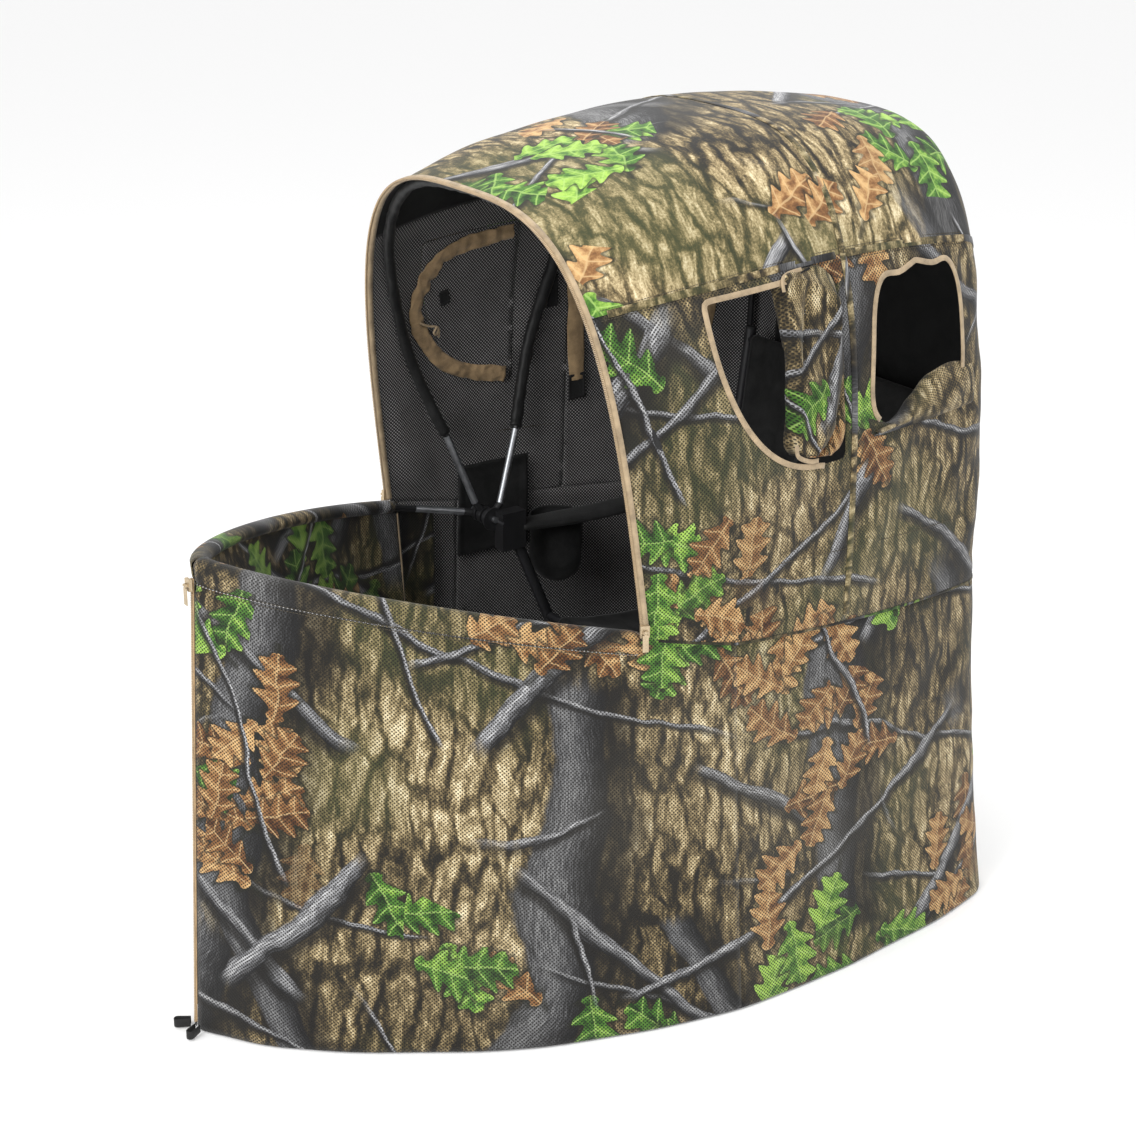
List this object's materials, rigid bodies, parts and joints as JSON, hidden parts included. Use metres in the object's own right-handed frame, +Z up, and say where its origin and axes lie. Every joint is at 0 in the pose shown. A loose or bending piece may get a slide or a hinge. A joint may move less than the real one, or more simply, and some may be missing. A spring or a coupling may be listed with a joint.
{
  "type": "pop-up ground blind",
  "caption": "One-person flip-over ground blind: pointed fabric skirt and arched hood with side windows on pivoting hoops, around a folding sling chair.",
  "frame": {"origin": "on the floor, at the centre of the footprint", "axes": "+Z up, -Y towards the pointed front, +X to the right as seen from the front, which is the sitter's left and the side whose windows are open"},
  "size_m": [0.8526, 1.3592, 1.3179],
  "materials": {
    "frame_steel": "satin black powder coat",
    "bright_steel": "plain bright steel",
    "rubber_black": "matte moulded rubber",
    "plastic_black": "matte moulded plastic",
    "pole_black": "black sleeved glass-fibre pole",
    "cloth_black": "black woven polyester",
    "camo_cloth": "matt woodland print, black inside",
    "tape_tan": "tan woven zip tape",
    "zip_metal": "dull painted metal"
  },
  "bodies": {
    "root": {"arm_leg_right": "frame_steel", "arm_leg_left": "frame_steel", "rear_floor_bar": "frame_steel", "seat_front_rail": "frame_steel", "rear_foot_caps": "rubber_black", "chair_pivot_bolts": "bright_steel", "chair_pivot_washers": "plastic_black", "seat_sling": "cloth_black", "arm_bands": "cloth_black", "cup_holder": "cloth_black", "hub_blocks": "plastic_black", "hub_pins": "bright_steel", "rear_hoop": "pole_black", "rear_hoop_feet": "rubber_black", "side_skirt_right": "camo_cloth", "side_skirt_left": "camo_cloth", "rear_skirt": "camo_cloth", "hood_side_rear_right": "camo_cloth", "hood_side_rear_left": "camo_cloth", "roof_rear": "camo_cloth", "rear_wall": "camo_cloth", "window_flap_rear_left": "camo_cloth", "window_flap_rear_right": "camo_cloth", "hub_patches": "cloth_black"},
    "chair_back": {"back_leg_right": "frame_steel", "back_leg_left": "frame_steel", "front_floor_bar": "frame_steel", "seat_rear_rail": "frame_steel", "back_top_rail": "frame_steel", "front_foot_caps": "rubber_black", "back_tube_plugs": "rubber_black", "back_sling": "cloth_black"},
    "rim_hoop": {"rim_lugs": "plastic_black", "rim_ferrules": "bright_steel", "rim_pole_right": "pole_black", "rim_pole_left": "pole_black", "nose_elbow": "plastic_black", "front_skirt_right": "camo_cloth", "front_skirt_left": "camo_cloth", "front_panel_flap": "camo_cloth", "nose_zip": "tape_tan", "stake_loops": "cloth_black"},
    "mid_hoop": {"mid_lugs": "plastic_black", "mid_ferrules": "bright_steel", "mid_pole": "pole_black", "hood_side_front_right": "camo_cloth", "hood_side_front_left": "camo_cloth", "roof_front": "camo_cloth", "window_flap_front_left": "camo_cloth", "window_flap_front_right": "camo_cloth"},
    "arch_hoop": {"arch_lugs": "plastic_black", "arch_ferrules": "bright_steel", "arch_pole": "pole_black", "opening_zip": "tape_tan", "opening_sliders": "zip_metal"},
    "nose_slider": {"nose_slider": "zip_metal"},
    "nose_pull": {"nose_pull": "zip_metal"},
    "opening_pull_right": {"opening_pull_right": "zip_metal"},
    "opening_pull_left": {"opening_pull_left": "zip_metal"}
  },
  "joints": [
    {"name": "hood_fold", "type": "hinge", "parent": "root", "child": "rim_hoop", "pos_m": [0, 0.0675, 0.6], "axis": [-1, 0, 0], "range_deg": [0, 90], "deforming": ["front_skirt_right", "front_skirt_left", "front_panel_flap", "nose_zip", "stake_loops", "side_skirt_right", "side_skirt_left"]},
    {"name": "mid_hoop_follow", "type": "hinge", "parent": "root", "child": "mid_hoop", "pos_m": [0, 0.0675, 0.6], "axis": [-1, 0, 0], "range_deg": [0, 18], "deforming": ["hood_side_rear_right", "hood_side_rear_left", "roof_rear", "window_flap_rear_left", "window_flap_rear_right", "hub_patches"]},
    {"name": "arch_hoop_follow", "type": "hinge", "parent": "mid_hoop", "child": "arch_hoop", "pos_m": [0, 0.0675, 0.6], "axis": [-1, 0, 0], "range_deg": [0, 22.5], "deforming": ["hood_side_front_right", "hood_side_front_left", "roof_front", "window_flap_front_left", "window_flap_front_right"]},
    {"name": "chair_fold", "type": "hinge", "parent": "root", "child": "chair_back", "pos_m": [0, 0.25885, 0.19699], "axis": [1, 0, 0], "range_deg": [0, 50], "deforming": ["seat_sling", "arm_bands", "cup_holder"]},
    {"name": "nose_zip_slide", "type": "slide", "parent": "rim_hoop", "child": "nose_slider", "axis": [0, -0.0508, -0.9987], "range_m": [0, 0.62]},
    {"name": "nose_pull_swing", "type": "hinge", "parent": "nose_slider", "child": "nose_pull", "pos_m": [0, -0.62904, 0.71959], "axis": [-1, 0, 0], "range_deg": [0, 150]},
    {"name": "opening_pull_right_swing", "type": "hinge", "parent": "arch_hoop", "child": "opening_pull_right", "pos_m": [0.3725, -0.08658, 0.64677], "axis": [-0.342, -0.9397, 0], "range_deg": [0, 150]},
    {"name": "opening_pull_left_swing", "type": "hinge", "parent": "arch_hoop", "child": "opening_pull_left", "pos_m": [-0.3725, -0.08658, 0.64677], "axis": [-0.342, 0.9397, 0], "range_deg": [0, 150]}
  ],
  "couplings": [
    {"joint": "mid_hoop_follow", "follows": "hood_fold", "ratio": 0.2},
    {"joint": "arch_hoop_follow", "follows": "hood_fold", "ratio": 0.25}
  ]
}
